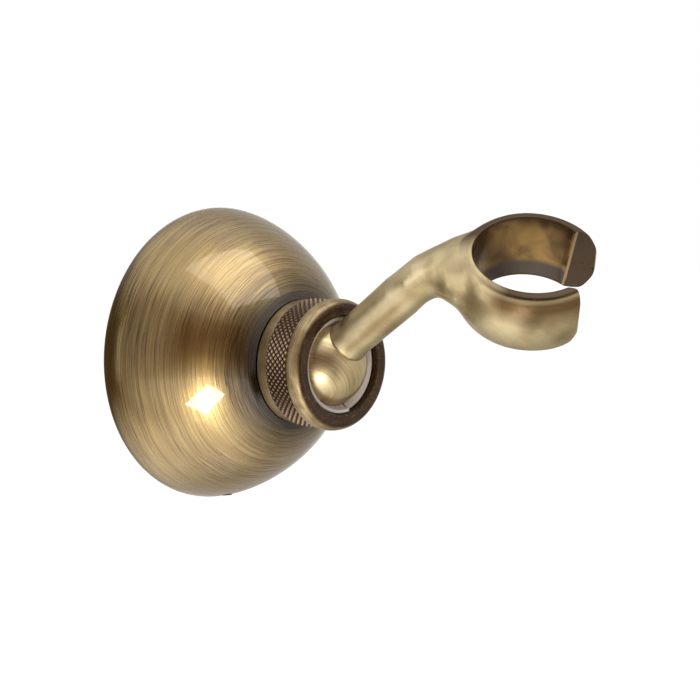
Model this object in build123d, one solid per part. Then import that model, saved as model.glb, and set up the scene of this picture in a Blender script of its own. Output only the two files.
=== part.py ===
from build123d import *
import math
import os

# Hand shower holder with a ball joint, sizes in millimetres.
# The wall is the plane Y = 0. The base stands out from it along -Y, and +Z is up.
# Turned pieces are drawn as (radius, distance from the wall) and revolved.

# Bell-shaped base: outside, walls and the hidden boss round the ball socket
BELL_RADIUS = 30.3
BELL_CROWN = 1.6
BELL_EDGE = 0.45
BELL_DEPTH = 26.6
BELL_FRONT_RADIUS = 12.8
BELL_RIM_PULL = 5.2
BELL_FRONT_PULL = 11.5
BELL_FRONT_SLOPE = 65
BELL_WALL = 2.4
BELL_RIM_WALL = 3.5
BELL_RIM_BORE_DEPTH = 5.0

# Threaded neck and ball socket in the front of the bell
NECK_RADIUS = 11.0
NECK_GAP = 0.4
NECK_RELIEF_WIDTH = 1.0
NECK_RELIEF_DEPTH = 0.5
NECK_LEAD_IN = 0.6
SOCKET_RADIUS = 9.4
SOCKET_FLOOR = 2.4

# Wall plate and the set screw that holds the bell on it
PLATE_THICKNESS = 2.6
PLATE_RIM_HEIGHT = 5.8
PLATE_RIM_WALL = 2.8
PLATE_CLEARANCE = 0.3
PLATE_HOLE_RADIUS = 2.3
PLATE_HOLE_SPACING = 32.0
PLATE_COUNTERSINK_RADIUS = 4.2
GROOVE_DEPTH = 0.6
GROOVE_FLOOR_WIDTH = 2.4
SCREW_RADIUS = 2.0
SCREW_DISTANCE = 3.3
SCREW_SUNK = 0.5
SCREW_POINT_RADIUS = 1.1
SCREW_HEX = 2.0
SCREW_HEX_DEPTH = 1.6
THREAD_CLEARANCE = 0.05

# Ball and its two nylon seats
BALL_RADIUS = 9.0
BALL_REACH = 6.4
BALL_CLEARANCE = 0.06
SEAT_CLEARANCE = 0.1
SEAT_FLOOR = 1.4
REAR_SEAT_HEIGHT = 6.0
RING_RECESS = 1.3
RING_CONE_GAP = 0.7
RING_STRAIGHT = 0.6
RING_EDGE_SHARE = 0.41
RING_SLIT = 0.5
RING_SLIT_ANGLE = -76

# Knurled clamping collar
COLLAR_GAP = 0.15
COLLAR_LENGTH = 12.05
COLLAR_LAND_RADIUS = 12.6
COLLAR_LAND_WIDTH = 2.8
KNURL_RADIUS = 13.05
KNURL_WIDTH = 5.7
KNURL_CHAMFER = 0.25
GROOVE_LINE_WIDTH = 0.5
GROOVE_LINE_RADIUS = 12.75
BEAD_RADIUS = 13.35
BEAD_STRAIGHT = 0.5
COLLAR_FACE_RADIUS = 11.7
MOUTH_RADIUS = 9.9
MOUTH_CHAMFER = 0.25
LIP_DEPTH = 1.9
COLLAR_THREAD_CLEARANCE = 0.1

# Arm: from the ball's centre straight to the elbow, then into the cradle's wall
SPIGOT_RADIUS = 2.6
SPIGOT_LENGTH = 4.2
SPIGOT_CLEARANCE = 0.05
ARM_SEAT_RADIUS = 4.0
ARM_RADIUS = 4.15
ARM_FLARE_LENGTH = 2.6
ELBOW_RADIUS = 4.7
ELBOW_DISTANCE = 34.8
ELBOW_ANGLE = 53.6
ELBOW_BEND = 8.0
ELBOW_HALF_WIDTH = 5.2
ELBOW_HALF_HEIGHT = 4.8
ROOT_HALF_WIDTH = 8.2
ROOT_HALF_HEIGHT = 5.8
ROOT_RISE = 0.8

# Cradle: open ring with a tapered bore, crowned outside
CRADLE_REACH = 19.2
CRADLE_HEIGHT = 13.9
CRADLE_TOP_BORE = 11.55
CRADLE_BOTTOM_BORE = 10.5
CRADLE_TOP_RIM = 1.5
CRADLE_BOTTOM_RIM = 2.2
CRADLE_CROWN = 4.1
CRADLE_SLOT = 17.2
CRADLE_EDGE = 0.4
CRADLE_BORE_EDGE = 0.3
CRADLE_JOIN = 3.0
UPPER_TIP = 0.35
LOWER_TIP = 1.5

# Pose in the photo: arm tilted up from the base's axis, swung to the right of upright,
# and rolled about its own axis
ARM_TILT = 36.1
ARM_SWING = 5.05
ARM_ROLL = 50.3

# Sizes that follow from the ones above: distances from the wall, then radii and the arm's line
ball_distance = BELL_DEPTH + BALL_REACH
ball_hollow = BALL_RADIUS + BALL_CLEARANCE
seat_back = ball_distance - ball_hollow - SEAT_FLOOR
socket_back = seat_back - THREAD_CLEARANCE
collar_back = BELL_DEPTH + COLLAR_GAP
collar_front = collar_back + COLLAR_LENGTH
lip_back = collar_front - LIP_DEPTH
thread_bore = NECK_RADIUS + COLLAR_THREAD_CLEARANCE
cone_back = lip_back - (thread_bore - MOUTH_RADIUS)
ring_outer = thread_bore - SEAT_CLEARANCE * 2
ring_nose = MOUTH_RADIUS - SEAT_CLEARANCE * 2
ring_front = collar_front - RING_RECESS
ring_shoulder = lip_back - (ring_outer - MOUTH_RADIUS) - RING_CONE_GAP
ring_rear = ring_shoulder - RING_STRAIGHT
neck_front = ring_rear - NECK_GAP
bell_bore = BELL_RADIUS - BELL_RIM_WALL
plate_radius = bell_bore - PLATE_CLEARANCE
elbow = math.radians(ELBOW_ANGLE)
stub_direction = Vector(math.cos(elbow), 0, math.sin(elbow))
ball_flat = math.sqrt(BALL_RADIUS**2 - ARM_SEAT_RADIUS**2)

BALL_CENTRE = Vector(0, -ball_distance, 0)
BASE_AXIS = Axis(BALL_CENTRE, (0, -1, 0))
WALL_FRAME = Plane(origin=(0, 0, 0), x_dir=(1, 0, 0), z_dir=(0, -1, 0))
STANDING = (Align.CENTER, Align.CENTER, Align.MIN)


def turned(*runs):
    """Revolve a closed outline, given as runs of (radius, distance) edges, about the base's axis."""
    edges = [edge for run in runs for edge in run.edges()]
    return WALL_FRAME * revolve(Plane.XZ * make_face(edges), Axis.Z)


def dome(start, end, rim_pull, front_pull):
    """The bell's curve, parallel to the axis at its widest circle and leaning in to the front."""
    slope = math.radians(BELL_FRONT_SLOPE)
    before_end = (end[0] + front_pull * math.sin(slope), end[1] - front_pull * math.cos(slope))
    return Bezier(start, (start[0], start[1] + rim_pull), before_end, end)


def hollow_radius(distance):
    """Radius of the seats' hollow, a sphere a little larger than the ball, at a distance from the wall."""
    offset = distance - ball_distance
    return math.sqrt(max(0, ball_hollow**2 - offset**2))


def hollow_arc(low, high):
    """Arc of the seats' hollow between two distances from the wall."""
    middle = (low + high) / 2
    return ThreePointArc(*[(hollow_radius(distance), distance) for distance in (low, middle, high)])


def make_bell_base():
    """Cast bell with its neck: one turned profile, then the tapped hole for the set screw."""
    boss_radius = SOCKET_RADIUS + BELL_WALL
    boss_back = socket_back - SOCKET_FLOOR
    inner_front = BELL_DEPTH - BELL_WALL / math.sin(math.radians(BELL_FRONT_SLOPE))
    rim = (BELL_RADIUS, BELL_CROWN)
    front = (BELL_FRONT_RADIUS, BELL_DEPTH)
    relief = NECK_RADIUS - NECK_RELIEF_DEPTH
    edge = TangentArc(rim, (BELL_RADIUS - BELL_EDGE, 0), tangent=(0, -1))
    outside = dome(rim, front, BELL_RIM_PULL, BELL_FRONT_PULL)
    neck = Polyline(
        front,
        (relief, BELL_DEPTH),
        (relief, BELL_DEPTH + NECK_RELIEF_WIDTH),
        (NECK_RADIUS, BELL_DEPTH + NECK_RELIEF_WIDTH + NECK_RELIEF_DEPTH),
        (NECK_RADIUS, neck_front - NECK_LEAD_IN),
        (NECK_RADIUS - NECK_LEAD_IN, neck_front),
        (SOCKET_RADIUS, neck_front),
        (SOCKET_RADIUS, socket_back),
        (0, socket_back),
        (0, boss_back),
        (boss_radius, boss_back),
        (boss_radius, inner_front),
    )
    inside = dome(
        (bell_bore, BELL_RIM_BORE_DEPTH),
        (boss_radius, inner_front),
        BELL_RIM_PULL / 2,
        BELL_FRONT_PULL,
    )
    back = Polyline(
        (bell_bore, BELL_RIM_BORE_DEPTH),
        (bell_bore, 0),
        (BELL_RADIUS - BELL_EDGE, 0),
    )
    bell = turned(edge, outside, neck, inside, back)
    hole = Cylinder(SCREW_RADIUS + THREAD_CLEARANCE, BELL_RADIUS, align=STANDING)
    return bell - screw_frame(plate_radius) * hole


def screw_frame(radius):
    """Frame on the set screw's axis, pointing down out of the bell, at a distance from the base's axis."""
    return Plane(origin=(0, -SCREW_DISTANCE, -radius), x_dir=(1, 0, 0), z_dir=(0, 0, -1))


def make_wall_plate():
    """Shallow dish with a groove round its rim for the set screw and two countersunk screw holes."""
    groove_half = GROOVE_FLOOR_WIDTH / 2
    mouth_half = groove_half + GROOVE_DEPTH
    plate = turned(
        Polyline(
            (0, 0),
            (plate_radius, 0),
            (plate_radius, SCREW_DISTANCE - mouth_half),
            (plate_radius - GROOVE_DEPTH, SCREW_DISTANCE - groove_half),
            (plate_radius - GROOVE_DEPTH, SCREW_DISTANCE + groove_half),
            (plate_radius, SCREW_DISTANCE + mouth_half),
            (plate_radius, PLATE_RIM_HEIGHT),
            (plate_radius - PLATE_RIM_WALL, PLATE_RIM_HEIGHT),
            (plate_radius - PLATE_RIM_WALL, PLATE_THICKNESS),
            (0, PLATE_THICKNESS),
            (0, 0),
        )
    )
    front = Plane(origin=(0, -PLATE_THICKNESS, 0), x_dir=(1, 0, 0), z_dir=(0, -1, 0))
    countersunk = CounterSinkHole(PLATE_HOLE_RADIUS, PLATE_COUNTERSINK_RADIUS, PLATE_THICKNESS)
    holes = [front * Pos(0, side * PLATE_HOLE_SPACING / 2, 0) * countersunk for side in (-1, 1)]
    return plate - holes


def make_set_screw():
    """Socket set screw with a blunt point that reaches into the wall plate's groove."""
    tip = plate_radius - GROOVE_DEPTH + THREAD_CLEARANCE
    head = BELL_RADIUS - SCREW_SUNK
    point_height = SCREW_RADIUS - SCREW_POINT_RADIUS
    outline = Polyline(
        (0, 0),
        (SCREW_POINT_RADIUS, 0),
        (SCREW_RADIUS, point_height),
        (SCREW_RADIUS, head - tip),
        (0, head - tip),
        (0, 0),
    )
    screw = revolve(Plane.XZ * make_face(outline.edges()), Axis.Z)
    hex_radius = SCREW_HEX / math.sqrt(3)
    socket = Pos(0, 0, head - tip - SCREW_HEX_DEPTH) * extrude(RegularPolygon(hex_radius, 6), SCREW_HEX_DEPTH)
    return screw_frame(tip) * (screw - socket)


def make_rear_seat():
    """Nylon cup on the socket's floor, hollowed to the ball."""
    outer = SOCKET_RADIUS - SEAT_CLEARANCE
    front = seat_back + REAR_SEAT_HEIGHT
    bottom = seat_back + SEAT_FLOOR
    lip = (hollow_radius(front), front)
    return turned(
        Polyline((0, bottom), (0, seat_back), (outer, seat_back), (outer, front), lip),
        hollow_arc(bottom, front),
    )


def make_front_seat_ring():
    """Split nylon ring: hollowed to the ball, coned outside to wedge under the collar's lip."""
    edge = (ring_nose - hollow_radius(ring_front)) * RING_EDGE_SHARE
    edge_back = ring_front - edge
    ring = turned(
        Polyline(
            (hollow_radius(ring_rear), ring_rear),
            (ring_outer, ring_rear),
            (ring_outer, ring_shoulder),
            (ring_nose, ring_shoulder + ring_outer - ring_nose),
            (ring_nose, ring_front),
            (hollow_radius(edge_back) + edge, ring_front),
            (hollow_radius(edge_back), edge_back),
        ),
        hollow_arc(ring_rear, edge_back),
    )
    slit = Pos(ring_nose, 0, ball_distance) * Box(ring_nose, RING_SLIT, ball_distance)
    return ring - WALL_FRAME * Rot(0, 0, RING_SLIT_ANGLE) * slit


def make_knurled_collar():
    """Clamping nut: plain land, knurled band, groove, rounded bead, and a lip round its mouth."""
    knurl_back = collar_back + COLLAR_LAND_WIDTH
    knurl_front = knurl_back + KNURL_WIDTH
    bead_back = knurl_front + GROOVE_LINE_WIDTH
    bead_turn = bead_back + BEAD_STRAIGHT
    bead_lean = math.radians(45)
    bead_middle = (
        COLLAR_FACE_RADIUS + (BEAD_RADIUS - COLLAR_FACE_RADIUS) * math.cos(bead_lean),
        bead_turn + (collar_front - bead_turn) * math.sin(bead_lean),
    )
    outside = Polyline(
        (thread_bore, collar_back),
        (COLLAR_LAND_RADIUS, collar_back),
        (COLLAR_LAND_RADIUS, knurl_back),
        (KNURL_RADIUS - KNURL_CHAMFER, knurl_back),
        (KNURL_RADIUS, knurl_back + KNURL_CHAMFER),
        (KNURL_RADIUS, knurl_front - KNURL_CHAMFER),
        (GROOVE_LINE_RADIUS, knurl_front),
        (GROOVE_LINE_RADIUS, bead_back),
        (BEAD_RADIUS, bead_back),
        (BEAD_RADIUS, bead_turn),
    )
    bead = ThreePointArc((BEAD_RADIUS, bead_turn), bead_middle, (COLLAR_FACE_RADIUS, collar_front))
    inside = Polyline(
        (COLLAR_FACE_RADIUS, collar_front),
        (MOUTH_RADIUS + MOUTH_CHAMFER, collar_front),
        (MOUTH_RADIUS, collar_front - MOUTH_CHAMFER),
        (MOUTH_RADIUS, lip_back),
        (thread_bore, cone_back),
        (thread_bore, collar_back),
    )
    return turned(outside, bead, inside)


def posed(piece):
    """Place a piece drawn in the arm's own frame: X towards the cradle's slot, Z along its bore."""
    rise = math.radians(ARM_TILT - ELBOW_ANGLE)
    upright = Plane(
        origin=BALL_CENTRE,
        x_dir=(0, -math.cos(rise), math.sin(rise)),
        z_dir=(0, math.sin(rise), math.cos(rise)),
    )
    tilt = math.radians(ARM_TILT)
    arm_axis = Axis(BALL_CENTRE, (0, -math.cos(tilt), math.sin(tilt)))
    return (upright * piece).rotate(arm_axis, ARM_ROLL).rotate(BASE_AXIS, -ARM_SWING)


def along_arm(distance):
    """Frame across the straight arm, at a distance from the ball's centre."""
    return Plane(origin=stub_direction * distance, x_dir=(0, 1, 0), z_dir=stub_direction)


def make_swivel_ball():
    """Ball with a flat seat and a bore for the arm's spigot."""
    bore_bottom = ball_flat - SPIGOT_LENGTH - SPIGOT_CLEARANCE
    bore = Cylinder(SPIGOT_RADIUS + SPIGOT_CLEARANCE, BALL_RADIUS, align=STANDING)
    flat = Cylinder(BALL_RADIUS, BALL_RADIUS, align=STANDING)
    ball = Sphere(BALL_RADIUS) - along_arm(bore_bottom) * bore - along_arm(ball_flat) * flat
    return posed(ball)


def arm_body():
    """Arm lofted from its seat on the ball, round the elbow and into the cradle's wall."""
    bend_run = ELBOW_BEND * math.tan(elbow / 2)
    corner = stub_direction * ELBOW_DISTANCE
    arm_seat = ball_flat + SPIGOT_CLEARANCE
    flare_end = arm_seat + ARM_FLARE_LENGTH
    bend_start = ELBOW_DISTANCE - bend_run
    across = Vector(0, 1, 0)
    sections = [
        along_arm(arm_seat) * Circle(ARM_SEAT_RADIUS),
        along_arm(flare_end) * Circle(ARM_RADIUS),
        along_arm((flare_end + bend_start) / 2) * Circle(ARM_RADIUS),
        along_arm(bend_start) * Circle(ELBOW_RADIUS),
    ]
    half = elbow / 2
    half_direction = Vector(math.cos(half), 0, math.sin(half))
    inward = Vector(math.sin(half), 0, -math.cos(half))
    middle = corner + inward * ELBOW_BEND * (1 / math.cos(half) - 1)
    middle_place = Plane(origin=middle, x_dir=across, z_dir=half_direction)
    sections.append(middle_place * Ellipse(ELBOW_HALF_WIDTH, ELBOW_HALF_HEIGHT))
    for run in (bend_run, CRADLE_REACH - CRADLE_TOP_BORE + CRADLE_EDGE):
        place = Plane(origin=corner + Vector(run, 0, ROOT_RISE), x_dir=across, z_dir=(1, 0, 0))
        sections.append(place * Ellipse(ROOT_HALF_WIDTH, ROOT_HALF_HEIGHT))
    return loft(sections)


def cradle_ring(crown):
    """Crowned ring, still solid in the middle, with its slot and the rounded tips of its two prongs."""
    half_height = CRADLE_HEIGHT / 2
    top = (CRADLE_TOP_BORE + CRADLE_TOP_RIM, half_height)
    bottom = (CRADLE_BOTTOM_BORE + CRADLE_BOTTOM_RIM, -half_height)
    middle = Polyline(bottom, (0, -half_height), (0, half_height), top)
    outside = ThreePointArc(top, (crown, 0), bottom)
    section = make_face(middle.edges() + outside.edges())
    section = fillet(section.vertices().sort_by(Axis.X)[-2:], CRADLE_EDGE)
    plan = Circle(crown) - Pos(crown, 0) * Rectangle(crown * 2, CRADLE_SLOT)
    for side, tip in ((-1, LOWER_TIP), (1, UPPER_TIP)):
        corner = plan.vertices().sort_by_distance((crown, side * CRADLE_SLOT / 2))[0]
        plan = fillet(corner, tip)
    return revolve(Plane.XZ * section, Axis.Z) & extrude(plan, CRADLE_HEIGHT, both=True)


def make_arm_cradle():
    """One casting: spigot, arm and the open ring with its tapered bore, slot and crowned outside."""
    crown = (CRADLE_TOP_BORE + CRADLE_BOTTOM_BORE) / 2 + CRADLE_CROWN
    centre = stub_direction * ELBOW_DISTANCE + Vector(CRADLE_REACH, 0, 0)
    place = Pos(centre.X, centre.Y, centre.Z)
    casting = arm_body() + place * cradle_ring(crown)

    def is_join(edge):
        """Whether an edge runs where the arm meets the ring's crowned outside."""
        offset = edge @ 0.5 - centre
        return offset.X < 0 and math.hypot(offset.X, offset.Y) < crown + CRADLE_JOIN

    def is_bore_rim(edge):
        """Whether an edge is the bore's rim, at its top or bottom."""
        misses = [abs(edge.radius - bore_radius) for bore_radius in (CRADLE_TOP_BORE, CRADLE_BOTTOM_BORE)]
        return min(misses) < CRADLE_BORE_EDGE

    joins = casting.edges().filter_by(GeomType.BSPLINE).filter_by(is_join)
    casting = fillet(joins, CRADLE_JOIN)
    # The cutter runs on at the same taper for a full height above and below the ring
    taper = CRADLE_TOP_BORE - CRADLE_BOTTOM_BORE
    bore = Cone(CRADLE_BOTTOM_BORE - taper, CRADLE_TOP_BORE + taper, CRADLE_HEIGHT * 3)
    casting = casting - place * bore
    casting = fillet(casting.edges().filter_by(GeomType.CIRCLE).filter_by(is_bore_rim), CRADLE_BORE_EDGE)
    spigot = Cylinder(SPIGOT_RADIUS, SPIGOT_LENGTH + SPIGOT_CLEARANCE * 2, align=STANDING)
    casting = casting + along_arm(ball_flat - SPIGOT_LENGTH) * spigot
    return posed(casting)


PIECES = {
    "bell_base": make_bell_base,
    "wall_plate": make_wall_plate,
    "set_screw": make_set_screw,
    "rear_seat": make_rear_seat,
    "front_seat_ring": make_front_seat_ring,
    "knurled_collar": make_knurled_collar,
    "swivel_ball": make_swivel_ball,
    "arm_cradle": make_arm_cradle,
}

os.makedirs("parts", exist_ok=True)
for node, make_piece in PIECES.items():
    export_step(make_piece(), f"parts/{node}.step")
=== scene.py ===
import math

import bmesh
import bpy
from mathutils import Matrix, Vector


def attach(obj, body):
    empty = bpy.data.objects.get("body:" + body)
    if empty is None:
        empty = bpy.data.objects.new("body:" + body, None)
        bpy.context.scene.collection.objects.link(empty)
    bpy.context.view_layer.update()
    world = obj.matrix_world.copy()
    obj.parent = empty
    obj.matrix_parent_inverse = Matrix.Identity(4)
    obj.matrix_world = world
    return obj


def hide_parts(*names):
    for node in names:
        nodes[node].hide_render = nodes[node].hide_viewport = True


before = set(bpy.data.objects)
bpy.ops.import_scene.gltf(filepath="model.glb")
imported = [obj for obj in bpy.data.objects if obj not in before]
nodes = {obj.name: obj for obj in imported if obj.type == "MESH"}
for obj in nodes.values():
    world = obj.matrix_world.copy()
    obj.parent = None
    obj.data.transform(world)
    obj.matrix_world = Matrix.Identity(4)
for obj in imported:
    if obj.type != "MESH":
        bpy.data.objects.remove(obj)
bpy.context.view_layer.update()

MM = 0.001

# Collar, turned about the base's axis: radii and distances from the wall, in mm
COLLAR_BACK = 26.75
COLLAR_FRONT = 38.8
THREAD_BORE = 11.1
LAND_RADIUS = 12.6
LAND_EDGE = 0.18
KNURL_BACK = 29.55
KNURL_FRONT = 35.25
KNURL_RADIUS = 13.05
KNURL_CHAMFER = 0.25
KNURL_COUNT = 62
KNURL_DEPTH = 0.42
KNURL_STEPS = 8  # points of the mesh across one groove
KNURL_TIP = 0.86  # share of the full rise at which the tips are worn flat
KNURL_DARK = 12.74
KNURL_WORN = 13.0
GROOVE_RADIUS = 12.72
BEAD_BACK = 35.75
BEAD_RADIUS = 13.35
BEAD_TURN = 36.25
BEAD_EDGE = 0.15
FACE_RADIUS = 11.7
MOUTH_RADIUS = 9.9
LIP_BACK = 36.9
CONE_BACK = 35.7
BEAD_STEPS = 13
TURNED_CREASE = math.radians(28)

# Ball and the split ring that holds it
BALL_DISTANCE = 33.0
HOLLOW_RADIUS = 9.06
RING_REAR = 34.6
RING_SHOULDER = 35.2
RING_OUTER = 10.9
RING_NOSE = 9.7
RING_FRONT = 37.4
RING_RISE = 0.95
HOLLOW_END = 36.6
RING_MOUTH = 8.95
RING_MOUTH_BACK = 37.25
RING_SLIT = 0.5
RING_SLIT_ANGLE = -76
RING_EDGE = 0.1
NOSE_EDGE = 0.12
RING_STEPS = 240
HOLLOW_STEPS = 8

# Arm: a straight taper along its line from the ball's centre, in mm, which fades into the elbow
ARM_FOOT = 8.11
ARM_RADIUS = 4.08
ARM_TAPER = 0.0195
ARM_END = 31.0
ARM_FADE = 5.0
ARM_SKIN = (3.0, 6.0)  # what lies between these distances from the arm's line is its skin
FOOT_SPREAD = 0.36
FOOT_LENGTH = 2.2
ARM_START = Vector((0, -BALL_DISTANCE, 0))
CASTING_CREASE = math.radians(32)

# Where the polishing belt evened the casting, in mm: a pair gives where it starts and where it works in full
ROOT_ALONG_ARM = (25.0, 29.0)
ROOT_FROM_BORE = (12.3, 13.6)
ROOT_BESIDE = (13.5, 9.5)
ROOT_BEHIND = -3
TIP_NEAR = (5.5, 1.5)
TIP_REACH = 10.4
TIP_DEPTH = 5.8
ROOT_PASSES = 80
TIP_PASSES = 40
RIM_PROUD = 1.12  # share of a rounding's radius up to which metal is taken off
RIM_AROUND = 1.5  # share of a rounding's radius within which the mesh is made finer
RIM_MESH = 0.45
ROOT_MESH = 0.7
TIP_MESH = 0.5

# Cradle: middle of its bore, directions of the slot, the bore and the arm in the part's frame, and its sizes
CRADLE_CENTRE = Vector((13.5378, -76.1402, 18.1197))
TOWARDS_SLOT = Vector((0.611091, -0.782406, -0.120037))
ALONG_BORE = Vector((-0.386099, -0.427007, 0.817675))
ALONG_ARM = Vector((0.051864, -0.80799, 0.586909))
UNDER_ARM = Vector((0.0376, -0.5857, -0.8097))
ELBOW_LEVEL = 57.0
CRADLE_HALF = 6.95
CROWN_RADIUS = 15.65
TOP_RADIUS = 13.05
BOTTOM_RADIUS = 12.7
TOP_ROUNDING = 1.9
BOTTOM_ROUNDING = 2.8
BORE_MIDDLE = 11.025
BORE_TAPER = 0.5 * (11.55 - 10.5) / CRADLE_HALF
SLOT_HALF = 8.6
RING_OUTSIDE = 15.5


def linear(hex_colour):
    """Linear RGBA of an sRGB hex colour."""
    parts = [int(hex_colour[i:i + 2], 16) / 255 for i in (1, 3, 5)]
    return tuple(c / 12.92 if c <= 0.04045 else ((c + 0.055) / 1.055) ** 2.4 for c in parts) + (1.0,)


def fill(tree, node, inputs):
    """Set a node's inputs: each takes a value or another node's output."""
    for key, value in inputs.items():
        if isinstance(value, bpy.types.NodeSocket):
            tree.links.new(value, node.inputs[key])
        else:
            node.inputs[key].default_value = value


def add(tree, kind, inputs=None, out=0, **settings):
    """Add one node with its settings and inputs, and give back one of its outputs."""
    node = tree.nodes.new("ShaderNode" + kind)
    for name, value in settings.items():
        setattr(node, name, value)
    fill(tree, node, inputs or {})
    return node.outputs[out]


def new_material(name):
    """An empty node material: its tree, its main shader and the surface's place in mm."""
    material = bpy.data.materials.new(name)
    material.use_nodes = True
    tree = material.node_tree
    shader = tree.nodes["Principled BSDF"]
    place = add(tree, "TexCoord", out="Object")
    place_mm = add(tree, "VectorMath", {0: place, "Scale": 1 / MM}, operation="SCALE")
    return material, tree, shader, place_mm


def brushed_at(tree, along, stretch, across, lines_per_mm):
    """Where a point lies in a brushed pattern: drawn out along the strokes and fine across them."""
    lift = add(tree, "CombineXYZ", {"Y": across})
    fine = add(tree, "VectorMath", {0: lift, 1: (0, lines_per_mm, 0)}, operation="MULTIPLY")
    return add(tree, "VectorMath", {0: along, 1: (stretch,) * 3, 2: fine}, operation="MULTIPLY_ADD")


def brushed_bell_brass():
    """Antique brass, brushed round the base's axis and lacquered: dark oxide left between bright hair lines,
    light drawn out across the lines, and a clear coat that mirrors the lamp."""
    material, tree, shader, place = new_material("antique_brass_brushed_round")
    flat = add(tree, "VectorMath", {0: place, 1: (1, 0, 1)}, operation="MULTIPLY")
    radius = add(tree, "VectorMath", {0: flat}, operation="LENGTH", out="Value")
    around = add(tree, "VectorMath", {0: flat}, operation="NORMALIZE")
    depth = add(tree, "SeparateXYZ", {0: place}, out="Y")
    along = add(tree, "Math", {0: radius, 1: depth}, operation="ADD")

    # The pad wandered by a fraction of a millimetre as the bell turned
    wander = add(tree, "TexNoise", {"Vector": around, "Scale": 1.6, "Detail": 2.0}, out="Fac")
    wandered = add(tree, "Math", {0: wander, 1: 0.5, 2: along}, operation="MULTIPLY_ADD")

    # Hair lines are under 0.1 mm wide; drawn at about 0.25 mm so that they show, about 18 mm long
    fine_at = brushed_at(tree, around, 1.5, wandered, 4.4)
    hair = add(tree, "TexNoise", {"Vector": fine_at, "Scale": 1.0, "Detail": 2.0, "Roughness": 0.55},
               out="Fac")

    # Heavier strokes, about 1.5 mm wide and 20 mm long
    broad_at = brushed_at(tree, around, 1.2, wandered, 0.7)
    stroke = add(tree, "TexNoise", {"Vector": broad_at, "Scale": 1.0, "Detail": 2.0}, out="Fac")

    # Oxide left in patches about 15 mm across
    patch = add(tree, "TexNoise", {"Vector": place, "Scale": 1 / 15, "Detail": 2.0}, out="Fac")

    lines = add(tree, "Math", {0: stroke, 1: 0.3, 2: hair}, operation="MULTIPLY_ADD")
    bright = add(tree, "MapRange", {"Value": lines, 1: 0.35, 2: 0.90})
    stained = add(tree, "MapRange", {"Value": patch, 1: 0.48, 2: 0.68})
    dark = add(tree, "Mix", {0: stained, 6: linear("#75582c"), 7: linear("#613a1a")}, data_type="RGBA", out=2)
    brushed = add(tree, "Mix", {0: bright, 6: dark, 7: linear("#caac6e")}, data_type="RGBA", out=2)

    # Single deeper scratches, a little slanted, hold thin broken lines of oxide; drawn at about 0.2 mm
    slanted = add(tree, "Math", {0: wander, 1: 5.0, 2: along}, operation="MULTIPLY_ADD")
    thin_at = brushed_at(tree, around, 2.6, slanted, 4.6)
    thin = add(tree, "TexNoise", {"Vector": thin_at, "Scale": 1.0, "Detail": 0.0}, out="Fac")
    scratch = add(tree, "MapRange", {"Value": thin, 1: 0.60, 2: 0.67})
    worn_area = add(tree, "MapRange", {"Value": patch, 1: 0.40, 2: 0.58, 3: 0.1, 4: 0.7})
    scratched = add(tree, "Math", {0: scratch, 1: worn_area}, operation="MULTIPLY")
    lined = add(tree, "Mix", {0: scratched, 6: brushed, 7: linear("#4d371d")}, data_type="RGBA", out=2)

    # Painted shade: darker towards the collar, standing in for the collar's shade and its dark reflection on
    # the bell beside it
    reach = add(tree, "Math", {0: hair, 1: 6.0, 2: radius}, operation="MULTIPLY_ADD")
    corner = add(tree, "MapRange", {"Value": reach, 1: 24.0, 2: 16.4, 3: 0.0, 4: 0.95})
    colour = add(tree, "Mix", {0: corner, 6: lined, 7: linear("#22160f")}, data_type="RGBA", out=2)
    rough = add(tree, "MapRange", {"Value": hair, 1: 0.3, 2: 0.7, 3: 0.34, 4: 0.24})
    bump = add(tree, "Bump", {"Strength": 0.12, "Distance": 0.05 * MM, "Height": hair})
    tangent = add(tree, "Tangent", direction_type="RADIAL", axis="Y")

    fill(tree, shader, {
        "Base Color": colour,
        "Roughness": rough,
        "Normal": bump,
        "Tangent": tangent,
        "Metallic": 1.0,
        "Anisotropic": 0.75,
        "Coat Weight": 1.0,
        "Coat Roughness": 0.04,
        "Coat IOR": 1.6,
    })
    return material


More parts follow.
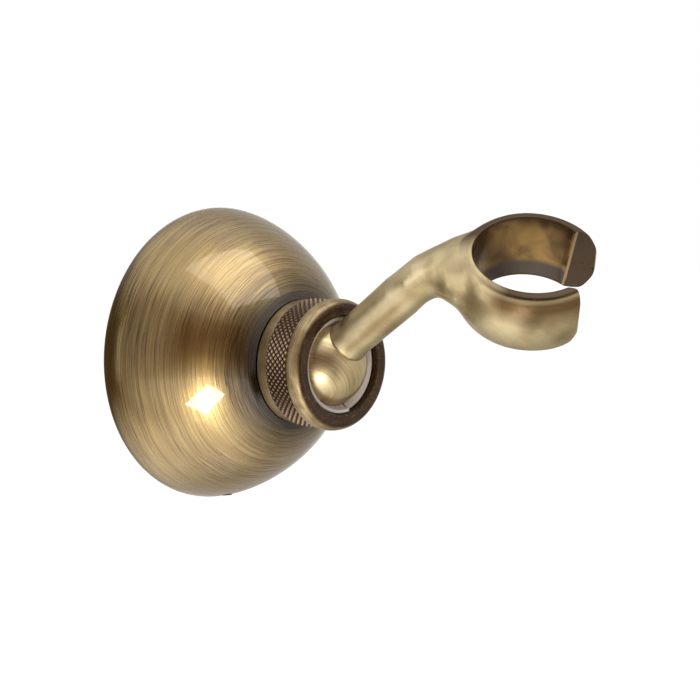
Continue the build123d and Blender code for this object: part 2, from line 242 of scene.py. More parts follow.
def collar_brass():
    """Antique brass, knurled and turned: oxide black-brown in the knurl and on the rough lip, tips and edges
    rubbed bright."""
    material, tree, shader, place = new_material("antique_brass_knurled")
    flat = add(tree, "VectorMath", {0: place, 1: (1, 0, 1)}, operation="MULTIPLY")
    radius = add(tree, "VectorMath", {0: flat}, operation="LENGTH", out="Value")
    around = add(tree, "VectorMath", {0: flat}, operation="NORMALIZE")
    depth = add(tree, "SeparateXYZ", {0: place}, out="Y")
    out = add(tree, "Math", {0: depth, 1: -1.0}, operation="MULTIPLY")

    # Turning lines, drawn at about 0.25 mm so that they show
    steps = add(tree, "Math", {0: radius, 1: out}, operation="ADD")
    fine_at = brushed_at(tree, around, 3.0, steps, 4.0)
    hair = add(tree, "TexNoise", {"Vector": fine_at, "Scale": 1.0, "Detail": 2.0}, out="Fac")
    grit = add(tree, "TexNoise", {"Vector": place, "Scale": 1 / 0.35, "Detail": 3.0, "Roughness": 0.7},
               out="Fac")
    blotch = add(tree, "TexNoise", {"Vector": place, "Scale": 1 / 2.2, "Detail": 2.0}, out="Fac")

    # Knurl: oxide at the bottom of the grooves, worn at the tips
    tip = add(tree, "MapRange", {"Value": radius, 1: KNURL_DARK, 2: KNURL_WORN})
    in_front_of_back = add(tree, "MapRange", {"Value": out, 1: KNURL_BACK - 0.05, 2: KNURL_BACK + 0.05})
    behind_front = add(tree, "MapRange", {"Value": out, 1: BEAD_BACK + 0.05, 2: BEAD_BACK - 0.05})
    in_knurl = add(tree, "Math", {0: in_front_of_back, 1: behind_front}, operation="MULTIPLY")
    knurl_colour = add(tree, "Mix", {0: tip, 6: linear("#3a2314"), 7: linear("#a2876a")},
                       data_type="RGBA", out=2)

    # Lip: the front face and the mouth, left rough and dark with rubbed specks and edges
    face = add(tree, "MapRange", {"Value": out, 1: COLLAR_FRONT - 0.65, 2: COLLAR_FRONT - 0.2})
    mouth = add(tree, "MapRange", {"Value": radius, 1: MOUTH_RADIUS + 0.4, 2: MOUTH_RADIUS + 0.1})
    lip = add(tree, "Math", {0: face, 1: mouth}, operation="MAXIMUM")
    speck = add(tree, "MapRange", {"Value": grit, 1: 0.62, 2: 0.72})
    lip_dark = add(tree, "Mix", {0: blotch, 6: linear("#281a10"), 7: linear("#5e442a")},
                   data_type="RGBA", out=2)
    lip_colour = add(tree, "Mix", {0: speck, 6: lip_dark, 7: linear("#b8986a")}, data_type="RGBA", out=2)

    brass_mix = add(tree, "Math", {0: blotch, 1: 0.6, 2: hair}, operation="MULTIPLY_ADD")
    brass_step = add(tree, "MapRange", {"Value": brass_mix, 1: 0.55, 2: 1.0})
    brass = add(tree, "Mix", {0: brass_step, 6: linear("#86704a"), 7: linear("#bba47a")},
                data_type="RGBA", out=2)
    with_knurl = add(tree, "Mix", {0: in_knurl, 6: brass, 7: knurl_colour}, data_type="RGBA", out=2)
    colour = add(tree, "Mix", {0: lip, 6: with_knurl, 7: lip_colour}, data_type="RGBA", out=2)

    smooth = add(tree, "MapRange", {"Value": hair, 1: 0.3, 2: 0.7, 3: 0.5, 4: 0.4})
    rough = add(tree, "Mix", {0: lip, 2: smooth, 3: 0.42})
    grain = add(tree, "Math", {0: grit, 1: lip}, operation="MULTIPLY")
    bump = add(tree, "Bump", {"Strength": 0.6, "Distance": 0.12 * MM, "Height": grain})

    fill(tree, shader, {
        "Base Color": colour,
        "Roughness": rough,
        "Normal": bump,
        "Metallic": 1.0,
        "Coat Weight": 0.4,
        "Coat Roughness": 0.12,
    })
    return material


def satin_ball_brass():
    """Antique brass, satin brushed straight across and lacquered: fine slanting lines, one soft highlight."""
    material, tree, shader, place = new_material("antique_brass_satin_ball")
    across = Vector((0.75, 0.35, 0.56)).normalized()
    level = add(tree, "VectorMath", {0: place, 1: across}, operation="DOT_PRODUCT", out="Value")
    # Brush lines, drawn at about 0.3 mm so that they show
    fine_at = brushed_at(tree, place, 0.1, level, 3.4)
    hair = add(tree, "TexNoise", {"Vector": fine_at, "Scale": 1.0, "Detail": 3.0, "Roughness": 0.6},
               out="Fac")
    bright = add(tree, "MapRange", {"Value": hair, 1: 0.34, 2: 0.62})
    colour = add(tree, "Mix", {0: bright, 6: linear("#b6a073"), 7: linear("#dac69a")},
                 data_type="RGBA", out=2)
    rough = add(tree, "MapRange", {"Value": hair, 1: 0.3, 2: 0.7, 3: 0.42, 4: 0.34})
    bump = add(tree, "Bump", {"Strength": 0.1, "Distance": 0.05 * MM, "Height": hair})
    fill(tree, shader, {
        "Base Color": colour,
        "Roughness": rough,
        "Normal": bump,
        "Metallic": 1.0,
        "Coat Weight": 0.2,
        "Coat Roughness": 0.2,
    })
    return material


def satin_cradle_brass():
    """Antique brass, cast, satin brushed outside and lacquered: oxide left dark on the rims and the prongs'
    cut ends, a shinier smeared bore, and edges rubbed bright."""
    material, tree, shader, place = new_material("antique_brass_satin_casting")
    offset = add(tree, "VectorMath", {0: place, 1: CRADLE_CENTRE}, operation="SUBTRACT")
    height = add(tree, "VectorMath", {0: offset, 1: ALONG_BORE}, operation="DOT_PRODUCT", out="Value")
    reach = add(tree, "VectorMath", {0: offset, 1: TOWARDS_SLOT}, operation="DOT_PRODUCT", out="Value")
    across = ALONG_BORE.cross(TOWARDS_SLOT)
    side = add(tree, "VectorMath", {0: offset, 1: across}, operation="DOT_PRODUCT", out="Value")
    lift = add(tree, "VectorMath", {0: tuple(ALONG_BORE), "Scale": height}, operation="SCALE")
    level = add(tree, "VectorMath", {0: offset, 1: lift}, operation="SUBTRACT")
    radius = add(tree, "VectorMath", {0: level}, operation="LENGTH", out="Value")

    # Brush lines across the arm, drawn at about 0.3 mm so that they show
    down_arm = add(tree, "VectorMath", {0: place, 1: ALONG_ARM}, operation="DOT_PRODUCT", out="Value")
    fine_at = brushed_at(tree, place, 0.3, down_arm, 3.4)
    hair = add(tree, "TexNoise", {"Vector": fine_at, "Scale": 1.0, "Detail": 3.0, "Roughness": 0.6},
               out="Fac")
    cloud = add(tree, "TexNoise", {"Vector": place, "Scale": 1 / 6, "Detail": 2.0}, out="Fac")
    mixed = add(tree, "Math", {0: hair, 1: 0.22, 2: cloud}, operation="MULTIPLY_ADD")
    bright = add(tree, "MapRange", {"Value": mixed, 1: 0.40, 2: 0.78})
    outside = add(tree, "Mix", {0: bright, 6: linear("#a89369"), 7: linear("#cbb98f")},
                  data_type="RGBA", out=2)

    # Painted shade: the arm's underside made darker, clear of the foot and before the elbow
    low = add(tree, "VectorMath", {0: place, 1: UNDER_ARM}, operation="DOT_PRODUCT", out="Value")
    sunk = add(tree, "Math", {0: low, 1: BALL_DISTANCE * UNDER_ARM.y}, operation="ADD")
    lower_half = add(tree, "MapRange", {"Value": sunk, 1: 1.2, 2: 2.8})
    clear_of_foot = add(tree, "MapRange", {"Value": sunk, 1: 3.6, 2: 2.6})
    before_elbow = add(tree, "MapRange", {"Value": down_arm, 1: ELBOW_LEVEL + 2.0, 2: ELBOW_LEVEL - 4.0})
    under = add(tree, "Math", {0: lower_half, 1: clear_of_foot}, operation="MULTIPLY")
    on_arm = add(tree, "Math", {0: under, 1: before_elbow}, operation="MULTIPLY")
    underside_shade = add(tree, "Math", {0: on_arm, 1: 0.75}, operation="MULTIPLY")
    underside_shaded = add(tree, "Mix", {0: underside_shade, 6: outside, 7: linear("#7d663f")}, data_type="RGBA", out=2)

    # Painted highlight: a bright band along the middle of the arm, broken up by the clouds and stopping short
    # of the ring; polished holds the colour with it
    upper_edge = add(tree, "MapRange", {"Value": sunk, 1: -3.2, 2: -1.4})
    lower_edge = add(tree, "MapRange", {"Value": sunk, 1: 2.6, 2: 0.8})
    short_of_ring = add(tree, "MapRange", {"Value": down_arm, 1: ELBOW_LEVEL + 14.0, 2: ELBOW_LEVEL + 4.0})
    ridge = add(tree, "Math", {0: upper_edge, 1: lower_edge}, operation="MULTIPLY")
    highlight_band = add(tree, "Math", {0: ridge, 1: short_of_ring}, operation="MULTIPLY")
    clouded_highlight = add(tree, "Math", {0: highlight_band, 1: cloud}, operation="MULTIPLY")
    painted_highlight = add(tree, "MapRange", {"Value": clouded_highlight, 1: 0.1, 2: 0.5})
    polished = add(tree, "Mix", {0: painted_highlight, 6: underside_shaded, 7: linear("#e2d0a6")}, data_type="RGBA", out=2)

    # Painted shade: a soft brown band outside, just below the near prong's top edge
    below_edge = add(tree, "MapRange", {"Value": height, 1: 0.6, 2: 4.2})
    clear_of_edge = add(tree, "MapRange", {"Value": height, 1: 6.5, 2: 5.4})
    near_side = add(tree, "MapRange", {"Value": side, 1: -6.0, 2: -9.5})
    past_arm = add(tree, "MapRange", {"Value": reach, 1: -10.0, 2: -4.0})
    band = add(tree, "Math", {0: below_edge, 1: clear_of_edge}, operation="MULTIPLY")
    on_prong = add(tree, "Math", {0: near_side, 1: past_arm}, operation="MULTIPLY")
    brown = add(tree, "Math", {0: band, 1: on_prong}, operation="MULTIPLY")
    toned = add(tree, "Mix", {0: brown, 6: polished, 7: linear("#6f5532")}, data_type="RGBA", out=2)

    # Bore: smeared gold and brown where the cone rubs, dark towards its lower edge
    wall = add(tree, "Math", {0: height, 1: BORE_TAPER, 2: BORE_MIDDLE + 0.12}, operation="MULTIPLY_ADD")
    gap = add(tree, "Math", {0: radius, 1: wall}, operation="SUBTRACT")
    in_bore = add(tree, "MapRange", {"Value": gap, 1: 0.12, 2: 0.0})
    smear = add(tree, "TexNoise", {"Vector": place, "Scale": 1 / 6, "Detail": 2.0, "Distortion": 0.6},
                out="Fac")
    gold = add(tree, "MapRange", {"Value": smear, 1: 0.38, 2: 0.62})
    rubbed = add(tree, "Mix", {0: gold, 6: linear("#5e4529"), 7: linear("#8b6c3c")}, data_type="RGBA", out=2)
    foot = add(tree, "MapRange", {"Value": height, 1: -2.6, 2: -3.8})
    bore = add(tree, "Mix", {0: foot, 6: rubbed, 7: linear("#4b4138")}, data_type="RGBA", out=2)

    # Flat rim and the prongs' cut ends keep their dark oxide
    above = add(tree, "Math", {0: height}, operation="ABSOLUTE")
    at_rim = add(tree, "MapRange", {"Value": above, 1: CRADLE_HALF - 0.8, 2: CRADLE_HALF - 0.45})
    on_ring = add(tree, "MapRange", {"Value": radius, 1: RING_OUTSIDE - 1.0, 2: RING_OUTSIDE - 1.6})
    far_side = add(tree, "MapRange", {"Value": side, 1: -3.0, 2: 4.0})
    rim_band = add(tree, "Math", {0: at_rim, 1: on_ring}, operation="MULTIPLY")
    past_root = add(tree, "MapRange", {"Value": reach, 1: -9.0, 2: -3.0})
    unrubbed = add(tree, "Math", {0: far_side, 1: past_root}, operation="MAXIMUM")
    on_rim = add(tree, "Math", {0: rim_band, 1: unrubbed}, operation="MULTIPLY")
    beside = add(tree, "Math", {0: side}, operation="ABSOLUTE")
    at_cut = add(tree, "MapRange", {"Value": beside, 1: SLOT_HALF + 0.10, 2: SLOT_HALF + 0.03})
    in_front = add(tree, "MapRange", {"Value": reach, 1: 5.0, 2: 5.2})
    on_cut = add(tree, "Math", {0: at_cut, 1: in_front}, operation="MULTIPLY")
    oxide = add(tree, "Math", {0: on_rim, 1: on_cut}, operation="MAXIMUM")

    with_bore = add(tree, "Mix", {0: in_bore, 6: toned, 7: bore}, data_type="RGBA", out=2)
    with_oxide = add(tree, "Mix", {0: oxide, 6: with_bore, 7: linear("#503d28")}, data_type="RGBA", out=2)

    # Inner edges of the prongs' ends are rubbed bright by the cone
    near_wall = add(tree, "MapRange", {"Value": gap, 1: 0.16, 2: 0.10})
    rubbed_edge = add(tree, "Math", {0: on_cut, 1: near_wall}, operation="MULTIPLY")
    with_edge = add(tree, "Mix", {0: rubbed_edge, 6: with_oxide, 7: linear("#a88c6a")},
                    data_type="RGBA", out=2)

    satin = add(tree, "MapRange", {"Value": hair, 1: 0.3, 2: 0.7, 3: 0.44, 4: 0.36})
    bore_rough = add(tree, "Mix", {0: in_bore, 2: satin, 3: 0.26})
    rough = add(tree, "Mix", {0: oxide, 2: bore_rough, 3: 0.5})
    bump = add(tree, "Bump", {"Strength": 0.08, "Distance": 0.05 * MM, "Height": hair})
    fill(tree, shader, {
        "Base Color": with_edge,
        "Roughness": rough,
        "Normal": bump,
        "Metallic": 1.0,
        "Coat Weight": 0.3,
        "Coat Roughness": 0.2,
    })
    return material


def moulded_nylon():
    """Natural nylon, moulded: warm off-white, clouded, with a fine dull grain."""
    material, tree, shader, place = new_material("nylon_moulded")
    grain = add(tree, "TexNoise", {"Vector": place, "Scale": 1 / 0.5, "Detail": 3.0}, out="Fac")
    cloud = add(tree, "TexNoise", {"Vector": place, "Scale": 1 / 4, "Detail": 1.0}, out="Fac")
    colour = add(tree, "Mix", {0: cloud, 6: linear("#d8cbc4"), 7: linear("#c3b4ac")}, data_type="RGBA", out=2)
    rough = add(tree, "MapRange", {"Value": grain, 3: 0.38, 4: 0.52})
    bump = add(tree, "Bump", {"Strength": 0.1, "Distance": 0.05 * MM, "Height": grain})
    fill(tree, shader, {
        "Base Color": colour,
        "Roughness": rough,
        "Normal": bump,
        "IOR": 1.53,
    })
    return material


def turned_plate_brass():
    """Plain brass, faced on a lathe: fine rings round the base's axis, yellower than the aged pieces."""
    material, tree, shader, place = new_material("brass_lathe_faced")
    flat = add(tree, "VectorMath", {0: place, 1: (1, 0, 1)}, operation="MULTIPLY")
    radius = add(tree, "VectorMath", {0: flat}, operation="LENGTH", out="Value")
    # Feed marks are about 0.15 mm apart; drawn at 0.5 mm so that they show
    ring = add(tree, "Math", {0: radius, 1: 2.0}, operation="MULTIPLY")
    ring_at = add(tree, "CombineXYZ", {"X": ring})
    rings = add(tree, "TexNoise", {"Vector": ring_at, "Scale": 1.0, "Detail": 2.0}, out="Fac")
    stain = add(tree, "TexNoise", {"Vector": place, "Scale": 1 / 9, "Detail": 3.0}, out="Fac")
    bright = add(tree, "Math", {0: rings, 1: stain}, operation="MULTIPLY")
    step = add(tree, "MapRange", {"Value": bright, 1: 0.12, 2: 0.42})
    colour = add(tree, "Mix", {0: step, 6: linear("#a3803f"), 7: linear("#d8b86c")}, data_type="RGBA", out=2)
    rough = add(tree, "MapRange", {"Value": rings, 3: 0.24, 4: 0.42})
    bump = add(tree, "Bump", {"Strength": 0.12, "Distance": 0.05 * MM, "Height": rings})
    tangent = add(tree, "Tangent", direction_type="RADIAL", axis="Y")
    fill(tree, shader, {
        "Base Color": colour,
        "Roughness": rough,
        "Normal": bump,
        "Tangent": tangent,
        "Metallic": 1.0,
        "Anisotropic": 0.5,
    })
    return material


def blackened_screw_steel():
    """Carbon steel, blackened in oil: near black with a soft sheen and paler handling marks."""
    material, tree, shader, place = new_material("steel_blackened")
    marks = add(tree, "TexNoise", {"Vector": place, "Scale": 1 / 0.8, "Detail": 3.0}, out="Fac")
    worn = add(tree, "MapRange", {"Value": marks, 1: 0.5, 2: 0.75})
    colour = add(tree, "Mix", {0: worn, 6: linear("#2c2a29"), 7: linear("#5b5754")}, data_type="RGBA", out=2)
    rough = add(tree, "MapRange", {"Value": marks, 3: 0.3, 4: 0.5})
    fill(tree, shader, {
        "Base Color": colour,
        "Roughness": rough,
        "Metallic": 1.0,
    })
    return material


def paint(obj, material):
    """Give a piece one finish all over."""
    obj.data.materials.clear()
    obj.data.materials.append(material)


def smooth_piece(name, mesh, crease):
    """Put a mesh in the scene as a smooth piece, sharp where its faces turn by more than the crease."""
    mesh.polygons.foreach_set("use_smooth", [True] * len(mesh.polygons))
    mesh.set_sharp_from_angle(angle=crease)
    piece = bpy.data.objects.new(name, mesh)
    bpy.context.scene.collection.objects.link(piece)
    return piece


def turned_mesh(name, rows, count):
    """A closed turned skin: rows of (radius, distance) pairs, one pair per step round the base's axis."""
    mesh = bpy.data.meshes.new(name)
    points = []
    for row in rows:
        for i, (radius, distance) in enumerate(row):
            angle = 2 * math.pi * i / count
            points.append((radius * math.cos(angle) * MM, -distance * MM, radius * math.sin(angle) * MM))
    faces = []
    for k in range(len(rows)):
        below = k * count
        above = (k + 1) % len(rows) * count
        for i in range(count):
            j = (i + 1) % count
            faces.append((below + j, above + j, above + i, below + i))
    mesh.from_pydata(points, [], faces)
    mesh.update()
    return mesh


def arc(centre, radius, start, end, steps):
    """Points of a rounded edge in the turned section, in degrees from straight out towards the front."""
    out = []
    for k in range(steps + 1):
        angle = math.radians(start + (end - start) * k / steps)
        out.append((centre[0] + radius * math.cos(angle), centre[1] + radius * math.sin(angle)))
    return out


def knurl_radius(step, row):
    """Radius of the knurl at a grid point: two crossing sets of grooves leave four-sided tips."""
    lean_one = (step + row) % KNURL_STEPS / KNURL_STEPS
    lean_two = (step - row) % KNURL_STEPS / KNURL_STEPS
    rise = min(1 - abs(2 * lean_one - 1), 1 - abs(2 * lean_two - 1))
    return KNURL_RADIUS - KNURL_DEPTH * (1 - min(rise / KNURL_TIP, 1))


def make_collar():
    """The clamping nut with its cut knurl, groove, rounded bead and lip."""
    count = KNURL_COUNT * KNURL_STEPS
    pitch = 2 * math.pi * KNURL_RADIUS / KNURL_COUNT
    knurl_rows = math.ceil((KNURL_FRONT - KNURL_BACK) / (pitch / KNURL_STEPS))
    outline = [(THREAD_BORE, COLLAR_BACK + 0.3), (THREAD_BORE + 0.3, COLLAR_BACK)]
    outline += arc((LAND_RADIUS - LAND_EDGE, COLLAR_BACK + LAND_EDGE), LAND_EDGE, -90, 0, 4)
    outline += [(LAND_RADIUS, KNURL_BACK - 0.12), (LAND_RADIUS - 0.06, KNURL_BACK - 0.04)]
    outline += [(LAND_RADIUS - 0.06, KNURL_BACK)]
    rows = [[point] * count for point in outline]
    for row in range(knurl_rows + 1):
        distance = KNURL_BACK + (KNURL_FRONT - KNURL_BACK) * row / knurl_rows
        inset = min(distance - KNURL_BACK, KNURL_FRONT - distance)
        limit = KNURL_RADIUS - KNURL_CHAMFER + inset
        rows.append([(min(knurl_radius(step, row), limit), distance) for step in range(count)])
    front = [(GROOVE_RADIUS, KNURL_FRONT + 0.02), (GROOVE_RADIUS, BEAD_BACK)]
    front += arc((BEAD_RADIUS - BEAD_EDGE, BEAD_BACK + BEAD_EDGE), BEAD_EDGE, -90, 0, 3)
    front += [(BEAD_RADIUS, BEAD_TURN)]
    bead_rise = COLLAR_FRONT - BEAD_TURN
    bead_run = BEAD_RADIUS - FACE_RADIUS
    for k in range(1, BEAD_STEPS):
        angle = math.radians(90 * k / BEAD_STEPS)
        front.append((FACE_RADIUS + bead_run * math.cos(angle), BEAD_TURN + bead_rise * math.sin(angle)))
    front += [(FACE_RADIUS, COLLAR_FRONT), (FACE_RADIUS - 0.12, COLLAR_FRONT - 0.02)]
    front += [(FACE_RADIUS - 0.3, COLLAR_FRONT - 0.12), (FACE_RADIUS - 0.9, COLLAR_FRONT - 0.14)]
    front += [(MOUTH_RADIUS + 0.35, COLLAR_FRONT - 0.08), (MOUTH_RADIUS + 0.2, COLLAR_FRONT - 0.09)]
    front += [(MOUTH_RADIUS + 0.06, COLLAR_FRONT - 0.18), (MOUTH_RADIUS, COLLAR_FRONT - 0.34)]
    front += [(MOUTH_RADIUS, LIP_BACK), (THREAD_BORE, CONE_BACK)]
    rows += [[point] * count for point in front]
    mesh = turned_mesh("knurled_collar_cut", rows, count)
    collar = smooth_piece("knurled_collar_cut", mesh, TURNED_CREASE)
    paint(collar, collar_brass())
    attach(collar, "collar")
    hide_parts("knurled_collar")


def make_split_ring():
    """The nylon ring, split and sprung so that one end stands further out of the mouth than the other."""
    count = RING_STEPS
    half_slit = math.degrees(RING_SLIT / 2 / RING_NOSE)
    start = RING_SLIT_ANGLE + half_slit
    sweep = 360 - 2 * half_slit
    mesh = bpy.data.meshes.new("split_nylon_ring")
    points = []
    faces = []
    for i in range(count + 1):
        share = i / count
        angle = math.radians(start + sweep * share)
        front = RING_FRONT + RING_RISE * share ** 2
        section = []
        for k in range(HOLLOW_STEPS + 1):
            distance = RING_REAR + (HOLLOW_END - RING_REAR) * k / HOLLOW_STEPS
            section.append(((HOLLOW_RADIUS ** 2 - (distance - BALL_DISTANCE) ** 2) ** 0.5, distance))
        section += [(RING_MOUTH, RING_MOUTH_BACK)]
        section += [(RING_MOUTH, front - RING_EDGE), (RING_MOUTH + RING_EDGE, front)]
        section += [(RING_NOSE - NOSE_EDGE, front), (RING_NOSE, front - NOSE_EDGE)]
        section += [(RING_NOSE, RING_SHOULDER + RING_OUTER - RING_NOSE)]
        section += [(RING_OUTER, RING_SHOULDER), (RING_OUTER, RING_REAR)]
        size = len(section)
        for radius, distance in section:
            points.append((radius * math.cos(angle) * MM, -distance * MM, radius * math.sin(angle) * MM))
    for i in range(count):
        for k in range(size):
            n = (k + 1) % size
            faces.append((i * size + n, (i + 1) * size + n, (i + 1) * size + k, i * size + k))
    faces.append(tuple(reversed(range(size))))
    faces.append(tuple(count * size + k for k in range(size)))
    mesh.from_pydata(points, [], faces)
    mesh.update()
    ring = smooth_piece("split_nylon_ring", mesh, TURNED_CREASE)
    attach(ring, "seat_ring")
    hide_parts("front_seat_ring")
    return ring


def crown_circle():
    """Centre and radius of the ring's crowned outside in its section, through its top, middle and bottom."""
    points = ((TOP_RADIUS, CRADLE_HALF), (CROWN_RADIUS, 0.0), (BOTTOM_RADIUS, -CRADLE_HALF))
    (ax, ay), (bx, by), (cx, cy) = points
    twist = 2 * (ax * (by - cy) + bx * (cy - ay) + cx * (ay - by))
    a, b, c = (x * x + y * y for x, y in points)
    centre_x = (a * (by - cy) + b * (cy - ay) + c * (ay - by)) / twist
    centre_y = (a * (cx - bx) + b * (ax - cx) + c * (bx - ax)) / twist
    return Vector((centre_x, centre_y)), math.hypot(CROWN_RADIUS - centre_x, centre_y)


def soft_corner(centre, crown, end, rounding):
    """Middle of the rounding between the crown and one flat end of the ring, and its two end directions."""
    height = end * (CRADLE_HALF - rounding)
    reach = ((crown - rounding) ** 2 - (height - centre.y) ** 2) ** 0.5
    middle = Vector((centre.x + reach, height))
    return middle, (middle - centre).normalized(), Vector((0, end))


def split_long_edges(work, longest, near):
    """Halve the edges near a place until none there is longer than the limit."""
    for _ in range(6):
        long = [edge for edge in work.edges if edge.calc_length() > longest * MM]
        edges = [edge for edge in long if any(near(vert.co / MM) for vert in edge.verts)]
        if not edges:
            break
        bmesh.ops.subdivide_edges(work, edges=edges, cuts=1)
        bmesh.ops.triangulate(work, faces=[f for f in work.faces if len(f.verts) > 3])


def ease(value, start, end):
    """Smooth step from 0 at the start to 1 at the end."""
    share = min(max((value - start) / (end - start), 0.0), 1.0)
    return share * share * (3 - 2 * share)


def soften(work, hold, longest, passes):
    """Even out part of a mesh, as a polishing belt does; hold gives each place's share, from 0 to 1."""
    split_long_edges(work, longest, lambda point: hold(point) > 0)
    moving = [(vert, hold(vert.co / MM)) for vert in work.verts]
    moving = [(vert, share) for vert, share in moving if share > 0]
    for _ in range(passes):
        moved = []
        for vert, share in moving:
            around = [edge.other_vert(vert).co for edge in vert.link_edges]
            middle = sum(around, Vector()) / len(around)
            moved.append(vert.co.lerp(middle, 0.5 * share))
        for (vert, _), place in zip(moving, moved):
            vert.co = place


def make_casting():
    """The arm and cradle as cast and polished: rims rubbed round, arm a straight taper with a spread foot."""
    mesh = nodes["arm_cradle"].data.copy()
    mesh.name = "arm_cradle_polished"
    centre, crown = crown_circle()
    corners = [
        (*soft_corner(centre, crown, 1, TOP_ROUNDING), TOP_ROUNDING),
        (*soft_corner(centre, crown, -1, BOTTOM_ROUNDING), BOTTOM_ROUNDING),
    ]

    def section_place(point):
        offset = point - CRADLE_CENTRE
        height = offset.dot(ALONG_BORE)
        level = offset - ALONG_BORE * height
        return level, Vector((level.length, height))

    def near_rim(point):
        place = section_place(point)[1]
        return any((place - middle).length < rounding * RIM_AROUND and place.x > middle.x - 0.5
                   for middle, _, _, rounding in corners)

    across = ALONG_BORE.cross(TOWARDS_SLOT)
    tip = CRADLE_CENTRE + TOWARDS_SLOT * TIP_REACH - across * SLOT_HALF - ALONG_BORE * TIP_DEPTH

    def at_root(point):
        place = section_place(point)[1]
        offset = point - CRADLE_CENTRE
        run = (point - ARM_START).dot(ALONG_ARM)
        if offset.dot(TOWARDS_SLOT) > ROOT_BEHIND:
            return 0.0
        beside = abs(offset.dot(across))
        return ease(run, *ROOT_ALONG_ARM) * ease(place.x, *ROOT_FROM_BORE) * ease(beside, *ROOT_BESIDE)

    def at_tip(point):
        return ease((point - tip).length, *TIP_NEAR)

    work = bmesh.new()
    work.from_mesh(mesh)
    bmesh.ops.remove_doubles(work, verts=work.verts, dist=1e-7)
    split_long_edges(work, RIM_MESH, near_rim)
    for vert in work.verts:
        point = vert.co / MM
        level, place = section_place(point)
        for middle, to_crown, to_end, rounding in corners:
            out = place - middle
            inside = out.dot(to_end) > 0 and out.cross(to_crown) * out.cross(to_end) <= 0
            if inside and rounding < out.length < rounding * RIM_PROUD:
                place = middle + out.normalized() * rounding
                point = CRADLE_CENTRE + ALONG_BORE * place.y + level.normalized() * place.x
        run = (point - ARM_START).dot(ALONG_ARM)
        radial = point - ARM_START - ALONG_ARM * run
        if ARM_FOOT - 0.05 < run < ARM_END and ARM_SKIN[0] < radial.length < ARM_SKIN[1]:
            taper = ARM_RADIUS + ARM_TAPER * (run - ARM_FOOT)
            spread = FOOT_SPREAD * max(0.0, 1 - (run - ARM_FOOT) / FOOT_LENGTH) ** 2
            hold = ease(run, ARM_END, ARM_END - ARM_FADE)
            length = radial.length + (taper + spread - radial.length) * hold
            point = ARM_START + ALONG_ARM * run + radial.normalized() * length
        vert.co = point * MM
    soften(work, at_root, ROOT_MESH, ROOT_PASSES)
    soften(work, at_tip, TIP_MESH, TIP_PASSES)
    work.to_mesh(mesh)
    work.free()
    casting = smooth_piece("arm_cradle_polished", mesh, CASTING_CREASE)
    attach(casting, "arm")
    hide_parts("arm_cradle")
    return casting


nylon = moulded_nylon()
make_collar()
paint(make_split_ring(), nylon)
paint(nodes["bell_base"], brushed_bell_brass())
paint(nodes["swivel_ball"], satin_ball_brass())
paint(make_casting(), satin_cradle_brass())
paint(nodes["rear_seat"], nylon)
paint(nodes["wall_plate"], turned_plate_brass())
paint(nodes["set_screw"], blackened_screw_steel())


# Camera where the photo was taken from: 0.6 m away, a little above the base's axis, 46 degrees to its left
CAMERA_TARGET = Vector((0.0, -0.04, 0.0))
CAMERA_DISTANCE = 0.6
CAMERA_AZIMUTH = -45.657
CAMERA_ELEVATION = 6.077
LENS = 153.98
SENSOR = 36.0
SHIFT = (0.00302, 0.02281)


def direction(azimuth, elevation):
    """Direction out from the holder: degrees round from the front, to its right, and degrees up."""
    a = math.radians(azimuth)
    e = math.radians(elevation)
    return Vector((math.sin(a) * math.cos(e), -math.cos(a) * math.cos(e), math.sin(e)))


def make_camera():
    """The camera, at the photo's place and angle."""
    data = bpy.data.cameras.new("camera")
    camera = bpy.data.objects.new("camera", data)
    bpy.context.scene.collection.objects.link(camera)
    back = direction(CAMERA_AZIMUTH, CAMERA_ELEVATION) * CAMERA_DISTANCE
    camera.location = CAMERA_TARGET + back
    camera.rotation_mode = "QUATERNION"
    camera.rotation_quaternion = (-back).to_track_quat("-Z", "Y")
    data.sensor_width = SENSOR
    data.lens = LENS
    data.shift_x, data.shift_y = SHIFT
    data.clip_start = 0.01
    data.clip_end = 50.0
    bpy.context.scene.camera = camera


def softbox(name, centre, facing, across, size, power):
    """A rectangular lamp: where it hangs, the way out from the object, one side's direction, and its size."""
    data = bpy.data.lights.new(name, "AREA")
    data.shape = "RECTANGLE"
    data.size, data.size_y = size
    data.energy = power
    lamp = bpy.data.objects.new(name, data)
    bpy.context.scene.collection.objects.link(lamp)
    back = Vector(facing).normalized()
    right = (Vector(across) - back * Vector(across).dot(back)).normalized()
    up = back.cross(right)
    turn = Matrix((right, up, back)).transposed()
    lamp.matrix_world = Matrix.Translation(Vector(centre)) @ turn.to_4x4()
    lamp.visible_camera = False


CARD_STEPS = 16
FEATHER = 5  # steps over which a card's edge fades out


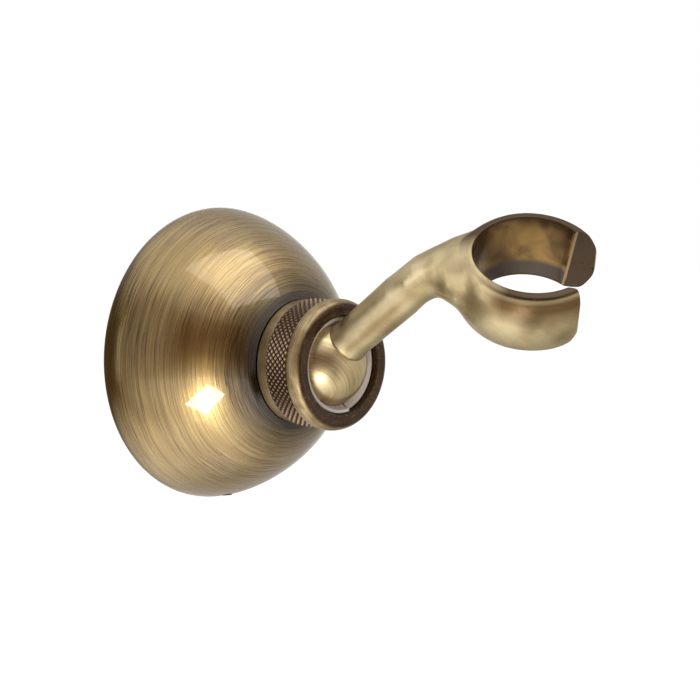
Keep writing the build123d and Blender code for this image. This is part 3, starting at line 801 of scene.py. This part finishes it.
def studio_card(name, centre, azimuths, elevations, distance, pale, deep):
    """A curved card round part of the set, seen only by the shiny metal, to give it darker reflections."""
    mesh = bpy.data.meshes.new(name)
    steps = CARD_STEPS
    points = []
    faces = []
    for i in range(steps + 1):
        for j in range(steps + 1):
            azimuth = azimuths[0] + (azimuths[1] - azimuths[0]) * i / steps
            elevation = elevations[0] + (elevations[1] - elevations[0]) * j / steps
            points.append(centre + direction(azimuth, elevation) * distance)
    for i in range(steps):
        for j in range(steps):
            k = i * (steps + 1) + j
            faces.append((k, k + 1, k + steps + 2, k + steps + 1))
    mesh.from_pydata(points, [], faces)
    mesh.update()
    card = bpy.data.objects.new(name, mesh)
    bpy.context.scene.collection.objects.link(card)
    solid = mesh.attributes.new("solid", "FLOAT", "POINT")
    for i in range(steps + 1):
        for j in range(steps + 1):
            inset = min(i, steps - i, j, steps - j)
            solid.data[i * (steps + 1) + j].value = min(inset / FEATHER, 1.0)
    material, tree, shader, place = new_material(name + "_cloth")
    # The card's edges are frayed, so the lacquer mirrors no hard outline
    share = add(tree, "Attribute", attribute_name="solid", out="Fac")
    weave = add(tree, "TexNoise", {"Vector": place, "Scale": 1 / 40}, out="Fac")
    tone = add(tree, "Mix", {0: weave, 6: linear(pale), 7: linear(deep)}, data_type="RGBA", out=2)
    fill(tree, shader, {
        "Base Color": tone,
        "Alpha": share,
        "Roughness": 1.0,
        "Specular IOR Level": 0.0,
    })
    card.data.materials.append(material)
    card.visible_camera = False
    card.visible_diffuse = False


# Studio: places in metres, and the strength of the white all round
FLOOR_HALF = 4.0
FLOOR_LEVEL = -0.36
WHITE = (1.0, 1.0, 1.0, 1.0)
WORLD_LIGHT = 0.6
FLOOR_GLOW = 0.5
LAMP_DISTANCE = 0.9
OVERHEAD = direction(8, 68)
LEFT = direction(-122, 4)
LOW_FRONT = (-0.3127, -0.2508, -0.2593)
PRONG = Vector((0.028, -0.078, 0.008))


def shown_rays(tree):
    """1 for the rays that show the white background to the eye, in metal or through clear pieces, else 0."""
    path = add(tree, "LightPath").node.outputs
    seen = add(tree, "Math", {0: path["Is Camera Ray"], 1: path["Is Glossy Ray"]}, operation="MAXIMUM")
    return add(tree, "Math", {0: seen, 1: path["Is Transmission Ray"]}, operation="MAXIMUM")


def make_stage():
    """White studio: pale floor well below the holder, white all round, soft lamps and toned cards."""
    scene = bpy.context.scene
    scene.view_settings.view_transform = "Standard"
    world = bpy.data.worlds.new("studio_white")
    scene.world = world
    world.use_nodes = True
    tree = world.node_tree
    level = add(tree, "MapRange", {"Value": shown_rays(tree), 3: WORLD_LIGHT, 4: 1.0})
    fill(tree, tree.nodes["Background"], {"Color": WHITE, "Strength": level})

    mesh = bpy.data.meshes.new("floor")
    half = FLOOR_HALF
    corners = [(x, y, FLOOR_LEVEL) for x, y in ((-half, -half), (half, -half), (half, half), (-half, half))]
    mesh.from_pydata(corners, [], [(0, 1, 2, 3)])
    mesh.update()
    floor = bpy.data.objects.new("floor", mesh)
    scene.collection.objects.link(floor)
    material, tree, shader, place = new_material("studio_floor_white")
    grain = add(tree, "TexNoise", {"Vector": place, "Scale": 1 / 60}, out="Fac")
    tone = add(tree, "Mix", {0: grain, 6: linear("#f4f4f3"), 7: linear("#f1f1f0")}, data_type="RGBA", out=2)
    glow = add(tree, "Math", {0: shown_rays(tree), 1: FLOOR_GLOW}, operation="MULTIPLY")
    fill(tree, shader, {
        "Base Color": tone,
        "Emission Strength": glow,
        "Emission Color": WHITE,
        "Roughness": 0.9,
        "Specular IOR Level": 0.1,
    })
    floor.data.materials.append(material)

    softbox("low_front_softbox", LOW_FRONT, (-0.6586, -0.4959, -0.5659),
            (0.752, -0.390, -0.533), (0.125, 0.175), 0.66)
    softbox("overhead_softbox", CAMERA_TARGET + OVERHEAD * LAMP_DISTANCE, OVERHEAD,
            (1, 0, 0), (0.8, 0.7), 2.4)
    softbox("left_strip", CAMERA_TARGET + LEFT * LAMP_DISTANCE, LEFT,
            (0, 1, 0), (0.45, 0.7), 2.6)
    studio_card("front_card", CAMERA_TARGET, (-106, 14), (-26, 54), 1.3, "#8a4218", "#26100a")
    studio_card("right_card", CAMERA_TARGET, (24, 190), (-16, 66), 1.3, "#e2ded6", "#d0cbc3")
    studio_card("left_card", CAMERA_TARGET, (-200, -92), (-50, 50), 0.118, "#7a6a54", "#5a4c3a")
    studio_card("table_card", CAMERA_TARGET, (-10, 200), (-88, 4), 0.34, "#c4bfb6", "#aca79f")
    studio_card("prong_flag", PRONG, (-82, -34), (-58, -14), 0.07, "#5a4a38", "#3a2e22")


make_camera()
make_stage()
